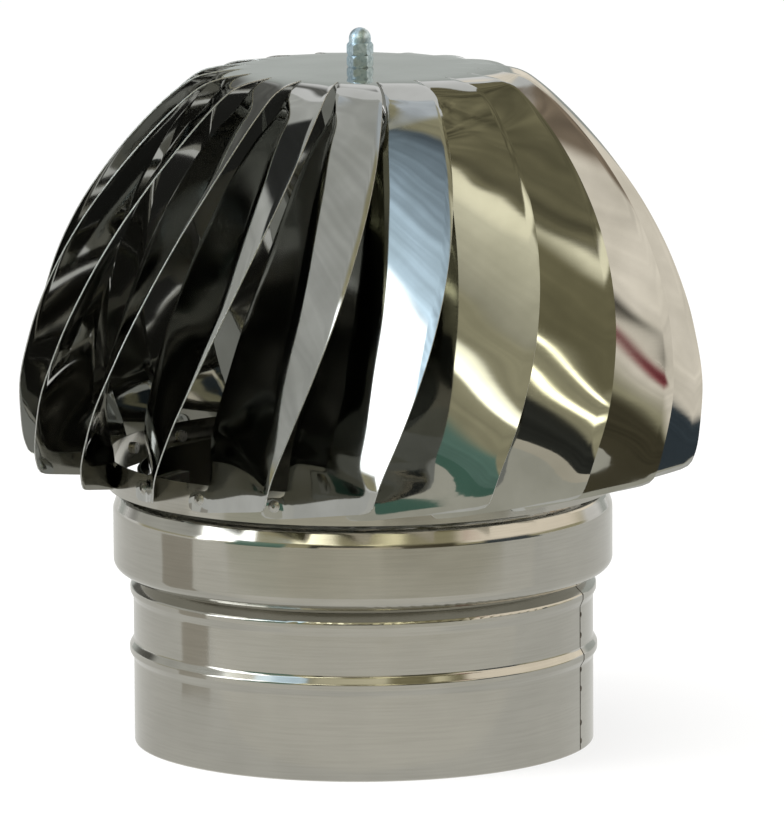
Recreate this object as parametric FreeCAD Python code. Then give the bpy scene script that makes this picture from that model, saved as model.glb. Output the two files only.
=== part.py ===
import FreeCAD, Part
import math
import os

# Rotating chimney cowl: a fixed stainless collar that plugs into a 200 mm flue,
# and a vaned hood that spins on it.
# Units are millimetres. Z is up along the axis of rotation, and the front of the cowl faces -Y.
# The origin is the centre of the collar's bottom rim.

V = FreeCAD.Vector
ORIGIN = V(0, 0, 0)
UP = V(0, 0, 1)
OUT = V(1, 0, 0)

# the collar: a plain flue end, two stop beads, a waist and a neck, all rolled from one sheet
FLUE_D = 200.0
FLUE_R = FLUE_D / 2.0
SHEET = 0.6
LOWER_BEAD_Z = 41.0
LOWER_BEAD_H = 1.8
UPPER_BEAD_H = 1.4
BEAD_FLAT = 1.2
BEAD_SLOPE = 3.0
UPPER_BEAD_DROP = 5.5
WAIST_Z = 73.0
UPPER_BEAD_Z = WAIST_Z - UPPER_BEAD_DROP
NECK_INSET = 3.0
NECK_R = FLUE_R - NECK_INSET
NECK_H = 47.0
NECK_TOP_Z = WAIST_Z + NECK_H
TIGHT_BEND = 1.6
EASY_BEND = 2.5

# the lap seam: one end of the sheet lies inside the other, with a spread of room behind it
SEAM_ANGLE = -21.0
SEAM_WIDTH = 8.0
SEAM_LINE = 0.3
SEAM_DEPTH = 0.25
SEAM_OVERLAP = 0.15
LAP_ROOM = 0.2

# the shoulder ring, a second spun sheet that stands out from the neck
RING_OUT = 11.5
RING_R = NECK_R + RING_OUT
RING_GAP = 0.3
RING_BOTTOM_Z = WAIST_Z + 1.2
RING_WALL_Z = WAIST_Z + 5.0
RING_WALL_H = 25.0
RING_TOP_Z = WAIST_Z + 46.0
RING_LIP = 5.5
RING_SLOPE_H = 3.3
RING_SLOPE_IN = 2.6
RING_TUCK = 5.0
RING_TUCK_H = 3.4

# the bridge across the neck and the rivets through its feet
BRIDGE_Z = WAIST_Z + 15.0
BRIDGE_T = 2.5
BRIDGE_ARMS = 3
BRIDGE_TURN = 30.0
HUB_R = 26.0
ARM_WIDTH = 18.0
FOOT_H = 20.0
FOOT_BEND = 2.5
FOOT_HOLES = (7.0, 15.0)
RIVET_R = 1.6
RIVET_HEAD_R = 3.0
RIVET_HEAD_H = 1.0
RIVET_TAIL_R = 2.5
RIVET_TAIL_H = 1.4
RIVET_SEAT = 0.05
HOLE_ROOM = 0.05

# the spindle and its two ball bearings, 10 x 26 x 8
SPINDLE_R = 5.0
STUD_R = 3.0
STUD_ROOM = 0.02
BEARING_R = 13.0
BEARING_W = 8.0
BALL_R = 2.381
BALL_COUNT = 7
PITCH_R = (SPINDLE_R + BEARING_R) / 2.0
LAND = 1.75
SHIELD_STEP = 0.55
SHIELD_T = 0.3
SHIELD_INSET = 0.3
CAGE_HALF = 0.8
CAGE_FOOT = 1.4
CAGE_GAP = 0.3
FIT = 0.01
FACE_GAP = 0.02
GROOVE_GAP = 0.05
RACE_GAP = 0.03
LOWER_BEARING_Z = BRIDGE_Z - 20.0
UPPER_BEARING_Z = BRIDGE_Z + 14.0
HOUSING_WALL = 4.0
HOUSING_R = BEARING_R + HOUSING_WALL
HOUSING_STEP = 2.0
FLANGE_OUT = 5.0
FLANGE_T = 3.0
CLIP_T = 1.2
CLIP_ROOM = 0.15
CLIP_GRIP = 0.75
CLIP_W = 2.1
HOUSING_LIP = 1.15
SHAFT_CLIP_T = 1.0
SHAFT_CLIP_BITE = 0.25
SHAFT_CLIP_W = 2.1
SPINDLE_TAIL = 7.0
SPINDLE_COLLAR = 2.2
SPINDLE_COLLAR_H = 5.0
SLEEVE_WALL = 1.8

# the vaned hood: crown, blades, hoop and top nuts
BLADES = 19
PITCH = 360.0 / BLADES
HOOD_SHEET = 0.6
HOOP_OUT = 2.3
HOOP_R = RING_R + HOOP_OUT
HOOP_BOTTOM_Z = RING_TOP_Z - 6.5
HOOP_H = 14.0
TAB_GAP = 0.05
TAB_WIDTH = 8.0
TAB_Z = HOOP_BOTTOM_Z + 2.3
TAB_H = 11.2
HOOP_RIVET_Z = TAB_Z + 5.4
BLADE_FALL = 179.2
CROWN_TOP_Z = TAB_Z + BLADE_FALL
CROWN_R = 58.5
CROWN_DROP = 0.9
CROWN_SKIN = 0.03
HOOD_OVERHANG = 37.7
HOOD_R = HOOP_R + HOOD_OVERHANG
SLOT_GAP = 1.2
ROOT_LAP = 4.5
ROOT_TURN = 7.5
HUB_WASHER_R = 18.0
HUB_WASHER_T = 2.0
NUT_AF = 10.0
NUT_H = 5.0
NUT_CHAMFER = 0.45
DOME_NUT_H = 12.0
DOME_HEX_H = 5.5
DOME_R = 4.75

# A blade's free outer edge, from the crown down: reach beyond the crown and fall below it,
# both as shares of the hood's own reach and fall, and the turn round the axis in degrees.
OUTER_EDGE = [
    (0.132, 0.0167, 7.4),
    (0.250, 0.0586, 6.4),
    (0.333, 0.0977, 5.3),
    (0.433, 0.1507, 4.0),
    (0.567, 0.2327, 1.9),
    (0.726, 0.3516, -1.2),
    (0.857, 0.4866, -4.7),
    (0.948, 0.6267, -8.5),
    (1.000, 0.7813, -13.0),
    (0.992, 0.8929, -16.2),
    (0.960, 0.9498, -17.3),
]

# Its inner edge: reach towards the hoop and fall as shares,
# and the turn behind the outer edge in pitches.
INNER_EDGE = [
    (0.120, 0.0100, 0.792),
    (0.218, 0.0391, 0.612),
    (0.266, 0.0725, 0.918),
    (0.389, 0.1256, 1.003),
    (0.583, 0.2132, 1.056),
    (0.798, 0.3404, 1.082),
    (0.961, 0.4838, 1.093),
    (1.071, 0.6323, 1.077),
    (1.107, 0.8036, 1.066),
    (1.000, 0.9319, 1.024),
    (1.000, 1.0000, 1.013),
]
BLADE_STEPS = 26
BLADE_COLUMNS = 4


def polar(radius, degrees, z):
    a = math.radians(degrees)
    return V(radius * math.cos(a), radius * math.sin(a), z)


def rod(radius, z0, z1):
    return Part.makeCylinder(radius, z1 - z0, V(0, 0, z0), UP)


def ring(r_in, r_out, z0, z1):
    return rod(r_out, z0, z1).cut(rod(r_in, z0 - 1, z1 + 1))


def around(shape, count, start=0.0):
    copies = []
    for i in range(count):
        c = shape.copy()
        c.rotate(ORIGIN, UP, start + 360.0 * i / count)
        copies.append(c)
    return copies


def export(shape, name):
    shape.exportStep("parts/" + name + ".step")


# spun and rolled sheet: a bent path in the r-z plane, given a thickness, then turned round the axis
def unit(a, b):
    d = (b[0] - a[0], b[1] - a[1])
    n = math.hypot(d[0], d[1])
    return (d[0] / n, d[1] / n)


def offset_path(points, radii, t):
    """Moves a path to its right by t, mitred, and gives the bend radii that go with it."""
    out = []
    bends = []
    for i, p in enumerate(points):
        a = unit(points[i - 1], p) if i else unit(p, points[1])
        b = unit(p, points[i + 1]) if i < len(points) - 1 else a
        na = (a[1], -a[0])
        nb = (b[1], -b[0])
        k = t / (1.0 + na[0] * nb[0] + na[1] * nb[1])
        out.append((p[0] + k * (na[0] + nb[0]), p[1] + k * (na[1] + nb[1])))
        turn = a[0] * b[1] - a[1] * b[0]
        bends.append(max(radii[i] + (t if turn > 0 else -t), 0.0) if radii[i] else 0.0)
    return out, bends


def bent_edges(points, radii):
    """Straight runs joined by bends, as edges in the X-Z plane."""
    edges = []
    here = points[0]
    for i in range(1, len(points)):
        corner = points[i]
        if i < len(points) - 1 and radii[i] > 0:
            a = unit(points[i - 1], corner)
            b = unit(corner, points[i + 1])
            dot = max(-1.0, min(1.0, a[0] * b[0] + a[1] * b[1]))
            half = math.acos(dot) / 2.0
            cut = radii[i] * math.tan(half)
            p0 = (corner[0] - a[0] * cut, corner[1] - a[1] * cut)
            p1 = (corner[0] + b[0] * cut, corner[1] + b[1] * cut)
            bis = (b[0] - a[0], b[1] - a[1])
            n = math.hypot(bis[0], bis[1])
            sag = radii[i] / math.cos(half) - radii[i]
            mid = (corner[0] + bis[0] / n * sag, corner[1] + bis[1] / n * sag)
            edges.append(Part.makeLine(V(here[0], 0, here[1]), V(p0[0], 0, p0[1])))
            bend = Part.Arc(V(p0[0], 0, p0[1]), V(mid[0], 0, mid[1]), V(p1[0], 0, p1[1]))
            edges.append(bend.toShape())
            here = p1
        else:
            edges.append(Part.makeLine(V(here[0], 0, here[1]), V(corner[0], 0, corner[1])))
            here = corner
    return edges


def spun_sheet(points, radii, t, angle=360.0):
    """Sheet of thickness t whose left face follows the path, turned round Z."""
    inner, bends = offset_path(points, radii, t)
    edges = bent_edges(points, radii)
    edges.append(Part.makeLine(V(points[-1][0], 0, points[-1][1]), V(inner[-1][0], 0, inner[-1][1])))
    edges += bent_edges(inner, bends)
    edges.append(Part.makeLine(V(inner[0][0], 0, inner[0][1]), V(points[0][0], 0, points[0][1])))
    wire = Part.Wire(Part.__sortEdges__(edges))
    return Part.Face(wire).revolve(ORIGIN, UP, angle)


# collar
def spigot_path(grow=0.0):
    """Outside of the collar from the neck down to the rim, moved out by grow."""
    r = FLUE_R + grow
    rise = BEAD_FLAT + BEAD_SLOPE
    path = [
        (NECK_R + grow, NECK_TOP_Z),
        (NECK_R + grow, WAIST_Z),
        (r + UPPER_BEAD_H, UPPER_BEAD_Z + BEAD_FLAT),
        (r + UPPER_BEAD_H, UPPER_BEAD_Z - BEAD_FLAT),
        (r, UPPER_BEAD_Z - rise),
        (r, LOWER_BEAD_Z + rise),
        (r + LOWER_BEAD_H, LOWER_BEAD_Z + BEAD_FLAT),
        (r + LOWER_BEAD_H, LOWER_BEAD_Z - BEAD_FLAT),
        (r, LOWER_BEAD_Z - rise),
        (r, 0.0),
    ]
    t = TIGHT_BEND
    e = EASY_BEND
    return path, [0.0, t, t, t, e, e, t, t, e, 0.0]


def seam_sector(grow, depth, width):
    """A sector of the collar's own section beside the seam, width measured along the sheet."""
    path, bends = spigot_path(grow)
    sector = spun_sheet(path, bends, depth, math.degrees(width / FLUE_R))
    sector.rotate(ORIGIN, UP, SEAM_ANGLE)
    return sector


def flue_spigot():
    path, bends = spigot_path()
    tube = spun_sheet(path, bends, SHEET)
    # the seam is joggled: the lap thickens the inside, and only a fine line shows outside
    lap = seam_sector(SEAM_OVERLAP - SHEET, SHEET + SEAM_OVERLAP, SEAM_WIDTH)
    line = seam_sector(SEAM_DEPTH * 0.2, SEAM_DEPTH * 1.2, SEAM_LINE)
    return punched(tube.fuse(lap).cut(line))


def shoulder_ring():
    lip_r = NECK_R + RING_GAP + SHEET
    lip_z = RING_TOP_Z - RING_LIP
    path = [
        (lip_r, RING_TOP_Z),
        (lip_r, lip_z),
        (RING_R - RING_SLOPE_IN, lip_z - RING_SLOPE_H),
        (RING_R, RING_WALL_Z + RING_WALL_H),
        (RING_R, RING_WALL_Z),
        (RING_R - RING_TUCK, RING_WALL_Z - RING_TUCK_H),
        (lip_r, RING_BOTTOM_Z),
    ]
    wide = 2.0 * EASY_BEND
    return spun_sheet(path, [0.0, 3.0, wide, 6.0, wide, 3.0, 0.0], SHEET)


def foot_radius():
    """Radius of the bridge's feet, which lie against the inside of the neck, clear of the lap."""
    return NECK_R - SHEET - LAP_ROOM


def foot_hole_tools(r0, r1):
    """Drills through both rivet holes of every foot, from radius r0 to r1."""
    drills = []
    for dz in FOOT_HOLES:
        drills.append(Part.makeCylinder(RIVET_R + HOLE_ROOM, r1 - r0, V(r0, 0, BRIDGE_Z + dz), OUT))
    return around(Part.makeCompound(drills), BRIDGE_ARMS, BRIDGE_TURN)


def foot_bend_edges(arm, radius, z):
    """Edges of an arm along the circle of the given radius and height."""
    edges = []
    for e in arm.Edges:
        mid = e.CenterOfMass
        if abs(mid.z - z) < 1e-4 and 0.0 < radius - mid.x < 0.5:
            edges.append(e)
    return edges


def bearing_bridge():
    """A hub plate with three strips that turn up against the neck."""
    wall = foot_radius()
    z = BRIDGE_Z
    start = HUB_R - 4.0
    strip = Part.makeBox(wall - start, ARM_WIDTH, BRIDGE_T, V(start, -ARM_WIDTH / 2, z))
    strip = strip.common(rod(wall, z, z + FOOT_H))
    upright = Part.makeBox(wall, ARM_WIDTH, FOOT_H, V(start, -ARM_WIDTH / 2, z))
    foot = ring(wall - BRIDGE_T, wall, z, z + FOOT_H).common(upright)
    arm = strip.fuse(foot).removeSplitter()
    # the strip is bent round a bar, so each foot has a small radius inside and a larger one outside
    bend_in = foot_bend_edges(arm, wall - BRIDGE_T, z + BRIDGE_T)
    arm = arm.makeFillet(FOOT_BEND, bend_in)
    bend_out = foot_bend_edges(arm, wall, z)
    arm = arm.makeFillet(FOOT_BEND + BRIDGE_T, bend_out)
    hub = ring(HOUSING_R + RIVET_SEAT, HUB_R, z, z + BRIDGE_T)
    bridge = hub.multiFuse(around(arm, BRIDGE_ARMS, BRIDGE_TURN)).removeSplitter()
    for drill in foot_hole_tools(wall - 2 * BRIDGE_T, wall + SHEET):
        bridge = bridge.cut(drill)
    return bridge


def blind_rivet(grip):
    """A set blind rivet along +X, its head's underside at x = 0, with the mandrel's hole in the head."""
    shank = Part.makeCylinder(RIVET_R, grip + 0.02, V(-grip - 0.01, 0, 0), OUT)
    dome_r = RIVET_HEAD_R * 1.35
    dome = Part.makeSphere(dome_r, V(RIVET_HEAD_H - dome_r, 0, 0))
    head = Part.makeCylinder(RIVET_HEAD_R, RIVET_HEAD_H, ORIGIN, OUT).common(dome)
    tail = Part.makeCylinder(RIVET_TAIL_R, RIVET_TAIL_H, V(-grip - RIVET_TAIL_H, 0, 0), OUT)
    bore = Part.makeCylinder(RIVET_R * 0.45, RIVET_HEAD_H + grip, V(-grip * 0.5, 0, 0), OUT)
    return shank.fuse(head).fuse(tail).cut(bore)


def bridge_rivets():
    rivets = []
    grip = NECK_R - foot_radius() + BRIDGE_T + 2 * RIVET_SEAT
    for dz in FOOT_HOLES:
        one = blind_rivet(grip)
        one.translate(V(NECK_R + RIVET_SEAT, 0, BRIDGE_Z + dz))
        rivets += around(one, BRIDGE_ARMS, BRIDGE_TURN)
    return Part.makeCompound(rivets)


def punched(tube):
    """The neck with the holes for the bridge's rivets."""
    for drill in foot_hole_tools(NECK_R - 3 * SHEET, NECK_R + SHEET):
        tube = tube.cut(drill)
    return tube


# bearings
def lower_clip_z():
    return LOWER_BEARING_Z - GROOVE_GAP - CLIP_T


def upper_clip_z():
    return UPPER_BEARING_Z + BEARING_W + GROOVE_GAP


def bearing_housing():
    """A turned sleeve with a seat for a bearing at each end and a flange under the bridge."""
    bottom = lower_clip_z() - CLIP_ROOM / 2 - 3 * HOUSING_LIP
    top = upper_clip_z() + CLIP_T + CLIP_ROOM / 2 + HOUSING_LIP
    body = rod(HOUSING_R, bottom, top)
    under = BRIDGE_Z - RIVET_SEAT
    body = body.fuse(rod(HOUSING_R + FLANGE_OUT, under - FLANGE_T, under))
    seat = BEARING_R + FIT
    cuts = [
        rod(seat, bottom - 1, LOWER_BEARING_Z + BEARING_W),
        rod(BEARING_R - HOUSING_STEP, bottom, top),
        rod(seat, UPPER_BEARING_Z, top + 1),
    ]
    for z in (lower_clip_z(), upper_clip_z()):
        cuts.append(rod(BEARING_R + CLIP_GRIP, z - CLIP_ROOM / 2, z + CLIP_T + CLIP_ROOM / 2))
    for c in cuts:
        body = body.cut(c)
    return body


def race_groove(z):
    return Part.makeTorus(PITCH_R, BALL_R + RACE_GAP, V(0, 0, z + BEARING_W / 2), UP)


def outer_race(z):
    """Outer race with a step for the shield at each side."""
    body = ring(PITCH_R + LAND, BEARING_R, z, z + BEARING_W)
    step = SHIELD_INSET + SHIELD_T + 0.15
    for z0 in (z - 0.01, z + BEARING_W - step):
        body = body.cut(rod(PITCH_R + LAND + SHIELD_STEP, z0, z0 + step + 0.01))
    return body.cut(race_groove(z))


def inner_race(z):
    return ring(SPINDLE_R + FIT, PITCH_R - LAND, z, z + BEARING_W).cut(race_groove(z))


def ball_set(z):
    ball = Part.makeSphere(BALL_R, V(PITCH_R, 0, z + BEARING_W / 2))
    return Part.makeCompound(around(ball, BALL_COUNT))


def ball_cage(z):
    """Crown cage: one ring above the balls' middle, with open pockets below."""
    mid = z + BEARING_W / 2
    top = z + BEARING_W - SHIELD_INSET - SHIELD_T - CAGE_GAP
    cage = ring(PITCH_R - CAGE_HALF, PITCH_R + CAGE_HALF, mid - CAGE_FOOT, top)
    for pocket in around(Part.makeSphere(BALL_R + 2 * RACE_GAP, V(PITCH_R, 0, mid)), BALL_COUNT):
        cage = cage.cut(pocket)
    return cage


def shields(z):
    r_in = PITCH_R - LAND + 0.35
    r_out = PITCH_R + LAND + SHIELD_STEP - FIT
    low = ring(r_in, r_out, z + SHIELD_INSET, z + SHIELD_INSET + SHIELD_T)
    high_z = z + BEARING_W - SHIELD_INSET - SHIELD_T
    return Part.makeCompound([low, ring(r_in, r_out, high_z, high_z + SHIELD_T)])


def inside_clip(z):
    """Retaining ring for a bore, open on one side with two eyes."""
    r = BEARING_R + CLIP_GRIP - FACE_GAP
    c = ring(r - CLIP_W, r, z, z + CLIP_T)
    c = c.cut(Part.makeBox(6.0, 7.0, CLIP_T + 2, V(r - 3.7, -3.5, z - 1)))
    for side in (-1, 1):
        place = polar(r - 1.7, side * 22.5, z)
        eye = Part.makeCylinder(1.6, CLIP_T, place, UP)
        hole = Part.makeCylinder(0.7, CLIP_T + 2, place - UP, UP)
        c = c.fuse(eye).cut(hole)
    return c


def shaft_clip(z):
    """Retaining ring for the spindle, open on one side."""
    r = SPINDLE_R - SHAFT_CLIP_BITE + 2 * FACE_GAP
    c = ring(r, r + SHAFT_CLIP_W, z, z + SHAFT_CLIP_T)
    return c.cut(Part.makeBox(6.0, 5.0, SHAFT_CLIP_T + 2, V(SPINDLE_R - 2.0, -2.5, z - 1)))


# spindle and hood hardware
def spindle_top():
    return CROWN_TOP_Z - HOOD_SHEET - 2 * CROWN_SKIN - HUB_WASHER_T - 2 * FACE_GAP - FACE_GAP


def spindle():
    bottom = LOWER_BEARING_Z - SPINDLE_TAIL
    top = spindle_top()
    stop = UPPER_BEARING_Z + BEARING_W + FACE_GAP
    body = rod(SPINDLE_R, bottom, top)
    body = body.fuse(rod(SPINDLE_R + SPINDLE_COLLAR, stop, stop + SPINDLE_COLLAR_H))
    body = body.fuse(rod(STUD_R, top, CROWN_TOP_Z + NUT_H + DOME_NUT_H - 3.0))
    groove_top = LOWER_BEARING_Z - FACE_GAP
    groove_low = groove_top - SHAFT_CLIP_T - 0.1
    body = body.cut(ring(SPINDLE_R - SHAFT_CLIP_BITE, 2 * SPINDLE_R, groove_low, groove_top))
    low = [e for e in body.Edges if abs(e.CenterOfMass.z - bottom) < 1e-6]
    return body.makeChamfer(0.8, low)


def spacer_sleeve():
    r = SPINDLE_R + SLEEVE_WALL
    return ring(SPINDLE_R + FIT, r, LOWER_BEARING_Z + BEARING_W + FACE_GAP, UPPER_BEARING_Z - FACE_GAP)


def hub_washer():
    bottom = spindle_top() + FACE_GAP
    return ring(STUD_R + 0.2, HUB_WASHER_R, bottom, bottom + HUB_WASHER_T)


def hexagon(z0, h):
    """A hexagonal prism as high as a nut, the corners at both ends turned off."""
    pts = [polar(NUT_AF / math.sqrt(3.0), 60 * i, z0) for i in range(7)]
    prism = Part.Face(Part.makePolygon(pts)).extrude(V(0, 0, h))
    small = NUT_AF / 2 - 0.1
    wide = small + 3.5
    low = Part.makeCone(small, wide, 6.0, V(0, 0, z0 - NUT_CHAMFER), UP)
    high = Part.makeCone(wide, small, 6.0, V(0, 0, z0 + h + NUT_CHAMFER - 6.0), UP)
    return prism.common(low).common(high)


def crown_nut():
    z0 = CROWN_TOP_Z + FACE_GAP
    body = hexagon(z0, NUT_H)
    return body.cut(rod(STUD_R + STUD_ROOM, z0 - 1, z0 + NUT_H + 1))


def dome_nut():
    z0 = CROWN_TOP_Z + NUT_H + 2 * FACE_GAP
    dome_z = z0 + DOME_NUT_H - DOME_R
    cap = Part.makeSphere(DOME_R, V(0, 0, dome_z))
    cap = cap.common(rod(DOME_R + 1, dome_z, dome_z + DOME_R + 1))
    body = hexagon(z0, DOME_HEX_H)
    body = body.fuse(rod(DOME_R, z0 + 1, dome_z)).fuse(cap)
    return body.cut(rod(STUD_R + STUD_ROOM, z0 - 0.5, z0 + DOME_NUT_H - 3.0))


# the vaned hood: one sheet, slit from the rim, every petal folded down and twisted half open
def crown_mid(r):
    """Height of the middle of the sheet at radius r of the crown."""
    return CROWN_TOP_Z - HOOD_SHEET / 2.0 - CROWN_SKIN - CROWN_DROP * (r / CROWN_R) ** 3


def crown():
    """The crown's skins stand a hair outside the petals' roots, so that sheet runs into sheet."""
    half = HOOD_SHEET / 2 + CROWN_SKIN
    bore = STUD_R + 0.2
    radii = [bore + (CROWN_R - bore) * share for share in (0.0, 0.3, 0.6, 0.8, 1.0)]
    top = [V(r, 0, crown_mid(r) + half) for r in radii]
    bottom = [V(r, 0, crown_mid(r) - half) for r in radii]
    upper = Part.BSplineCurve()
    upper.interpolate(top)
    lower = Part.BSplineCurve()
    lower.interpolate(bottom)
    sides = [Part.makeLine(top[-1], bottom[-1]), Part.makeLine(bottom[0], top[0])]
    wire = Part.Wire(Part.__sortEdges__([upper.toShape(), lower.toShape()] + sides))
    return Part.Face(wire).revolve(ORIGIN, UP, 360)


def hermite(knots, values, x):
    """Smooth curve through a value at each knot, without overshoot."""
    n = len(knots)
    slopes = []
    for i in range(n - 1):
        slopes.append((values[i + 1] - values[i]) / (knots[i + 1] - knots[i]))
    m = [slopes[0]]
    for i in range(1, n - 1):
        a, b = slopes[i - 1], slopes[i]
        m.append(0.0 if a * b <= 0 else 2 * a * b / (a + b))
    m.append(slopes[-1])
    i = 0
    while i < n - 2 and x > knots[i + 1]:
        i += 1
    h = knots[i + 1] - knots[i]
    s = (x - knots[i]) / h
    a = (1 + 2 * s) * (1 - s) ** 2 * values[i] + s * (1 - s) ** 2 * h * m[i]
    return a + s * s * (3 - 2 * s) * values[i + 1] + s * s * (s - 1) * h * m[i + 1]


def blade_foot_radius():
    """Radius of the middle of the sheet where a blade stands on the hoop."""
    return HOOP_R + TAB_GAP + HOOD_SHEET / 2


def blade_rows():
    """Stations down one blade: outer edge, inner edge (radius, height, angle)."""
    gap = math.degrees(SLOT_GAP / CROWN_R)
    rows = []
    for r in (CROWN_R - ROOT_LAP, CROWN_R):
        z = crown_mid(r)
        rows.append(((r, z, ROOT_TURN), (r, z, ROOT_TURN - PITCH + gap)))
    reach_out = HOOD_R - CROWN_R
    reach_in = blade_foot_radius() - CROWN_R
    for (reach, fall, turn), (near, drop, back) in zip(OUTER_EDGE, INNER_EDGE):
        outer = (CROWN_R + reach_out * reach, CROWN_TOP_Z - BLADE_FALL * fall, turn)
        inner = (CROWN_R + reach_in * near, CROWN_TOP_Z - BLADE_FALL * drop, turn - PITCH * back)
        rows.append((outer, inner))
    return rows


def edge_points():
    """Even steps along the blade: pairs of points on the outer and inner edges, in r-z-angle form."""
    rows = blade_rows()
    s = [0.0]
    for a, b in zip(rows, rows[1:]):
        s.append(s[-1] + math.hypot(b[0][0] - a[0][0], b[0][1] - a[0][1]))
    out = []
    for k in range(BLADE_STEPS + 1):
        x = s[-1] * k / BLADE_STEPS
        o = [hermite(s, [row[0][j] for row in rows], x) for j in range(3)]
        i = [hermite(s, [row[1][j] for row in rows], x) for j in range(3)]
        out.append((x, o, i))
    return out, s


def blade_grid():
    """Middle surface of the blade as rows of points; the root follows the crown, the rest is ruled."""
    pairs, s = edge_points()
    grid = []
    for x, o, i in pairs:
        root = max(0.0, min(1.0, 1.0 - (x - s[1]) / (s[2] - s[1])))
        row = []
        for c in range(BLADE_COLUMNS + 1):
            u = c / float(BLADE_COLUMNS)
            p = polar(o[0], -90 + o[2], o[1])
            q = polar(i[0], -90 + i[2], i[1])
            flat = p * (1 - u) + q * u
            r, height, turn = [a * (1 - u) + b * u for a, b in zip(o, i)]
            turned = polar(r, -90 + turn, height)
            row.append(flat * (1 - root) + turned * root)
        grid.append(row)
    return grid


def shifted(grid, t):
    """The same grid moved t along the surface's outward normal."""
    out = []
    n = len(grid)
    m = len(grid[0])
    for a in range(n):
        row = []
        for b in range(m):
            du = grid[min(a + 1, n - 1)][b] - grid[max(a - 1, 0)][b]
            dv = grid[a][min(b + 1, m - 1)] - grid[a][max(b - 1, 0)]
            normal = dv.cross(du)
            normal.normalize()
            row.append(grid[a][b] + normal * t)
        out.append(row)
    return out


def sheet_blade():
    """One blade as a closed sheet: two smooth skins and the four cut edges between them."""
    grid = blade_grid()
    faces = []
    skins = []
    for t in (HOOD_SHEET / 2.0, -HOOD_SHEET / 2.0):
        surface = Part.BSplineSurface()
        surface.interpolate(shifted(grid, t))
        skins.append(surface)
        faces.append(surface.toShape())
    a, b = skins
    u0, u1, v0, v1 = a.bounds()
    for value in (u0, u1):
        faces.append(Part.makeRuledSurface(a.uIso(value).toShape(), b.uIso(value).toShape()))
    for value in (v0, v1):
        faces.append(Part.makeRuledSurface(a.vIso(value).toShape(), b.vIso(value).toShape()))
    shell = Part.makeShell(faces)
    shell.sewShape()
    solid = Part.Solid(shell)
    if solid.Volume < 0:
        solid.reverse()
    return solid


def foot_angle():
    """Where a blade's inner lower corner stands on the hoop."""
    return -90 + OUTER_EDGE[-1][2] - PITCH * INNER_EDGE[-1][2]


def tab_lap():
    """How far, in degrees, a tab runs on past the fold into its blade."""
    return math.degrees(HOOD_SHEET * 1.13 / HOOP_R)


def rivet_angle():
    return foot_angle() - math.degrees(TAB_WIDTH * 0.52 / HOOP_R)


def hoop_drill():
    hole = Part.makeCylinder(RIVET_R + HOLE_ROOM, 8.0, V(HOOP_R - 4, 0, HOOP_RIVET_Z), OUT)
    hole.rotate(ORIGIN, UP, rivet_angle())
    return hole


def rivet_tab():
    """The tab bent round at the blade's lower inner corner, lying on the hoop."""
    r0 = HOOP_R + TAB_GAP
    plate = ring(r0, r0 + HOOD_SHEET, TAB_Z, TAB_Z + TAB_H)
    wedge = Part.makeBox(2 * HOOP_R, 2 * HOOP_R, 4 * TAB_H, V(0, 0, TAB_Z - TAB_H))
    keep = wedge.copy()
    keep.rotate(ORIGIN, UP, foot_angle() - math.degrees(TAB_WIDTH / HOOP_R))
    other = wedge.copy()
    other.rotate(ORIGIN, UP, foot_angle() + tab_lap() - 90)
    return plate.common(keep).common(other)


def vaned_hood():
    blade = sheet_blade().fuse(rivet_tab()).cut(hoop_drill())
    return crown().multiFuse(around(blade, BLADES))


def bottom_hoop():
    body = ring(HOOP_R - SHEET, HOOP_R, HOOP_BOTTOM_Z, HOOP_BOTTOM_Z + HOOP_H)
    return body.cut(Part.makeCompound(around(hoop_drill(), BLADES)))


def hood_rivets():
    one = blind_rivet(SHEET + TAB_GAP + HOOD_SHEET + 2 * RIVET_SEAT)
    one.translate(V(HOOP_R + TAB_GAP + HOOD_SHEET + RIVET_SEAT, 0, HOOP_RIVET_Z))
    one.rotate(ORIGIN, UP, rivet_angle())
    return Part.makeCompound(around(one, BLADES))


def build():
    os.makedirs("parts", exist_ok=True)
    export(flue_spigot(), "flue_spigot")
    export(shoulder_ring(), "shoulder_ring")
    export(bearing_bridge(), "bearing_bridge")
    export(bridge_rivets(), "bridge_rivets")
    export(bearing_housing(), "bearing_housing")
    for name, z in (("lower", LOWER_BEARING_Z), ("upper", UPPER_BEARING_Z)):
        export(outer_race(z), name + "_outer_race")
        export(inner_race(z), name + "_inner_race")
        export(ball_set(z), name + "_balls")
        export(ball_cage(z), name + "_ball_cage")
        export(shields(z), name + "_shields")
    export(inside_clip(lower_clip_z()), "lower_housing_clip")
    export(inside_clip(upper_clip_z()), "upper_housing_clip")
    export(shaft_clip(LOWER_BEARING_Z - FACE_GAP - SHAFT_CLIP_T - FACE_GAP), "spindle_clip")
    export(spindle(), "spindle")
    export(spacer_sleeve(), "spacer_sleeve")
    export(hub_washer(), "hub_washer")
    export(crown_nut(), "crown_nut")
    export(dome_nut(), "dome_nut")
    export(vaned_hood(), "vaned_hood")
    export(bottom_hoop(), "bottom_hoop")
    export(hood_rivets(), "hood_rivets")


build()
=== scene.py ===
import math

import bmesh
import bpy
from bpy.props import FloatProperty, IntProperty, PointerProperty, StringProperty
from bpy.types import Operator, Panel, PropertyGroup
from mathutils import Matrix, Quaternion, Vector


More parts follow.
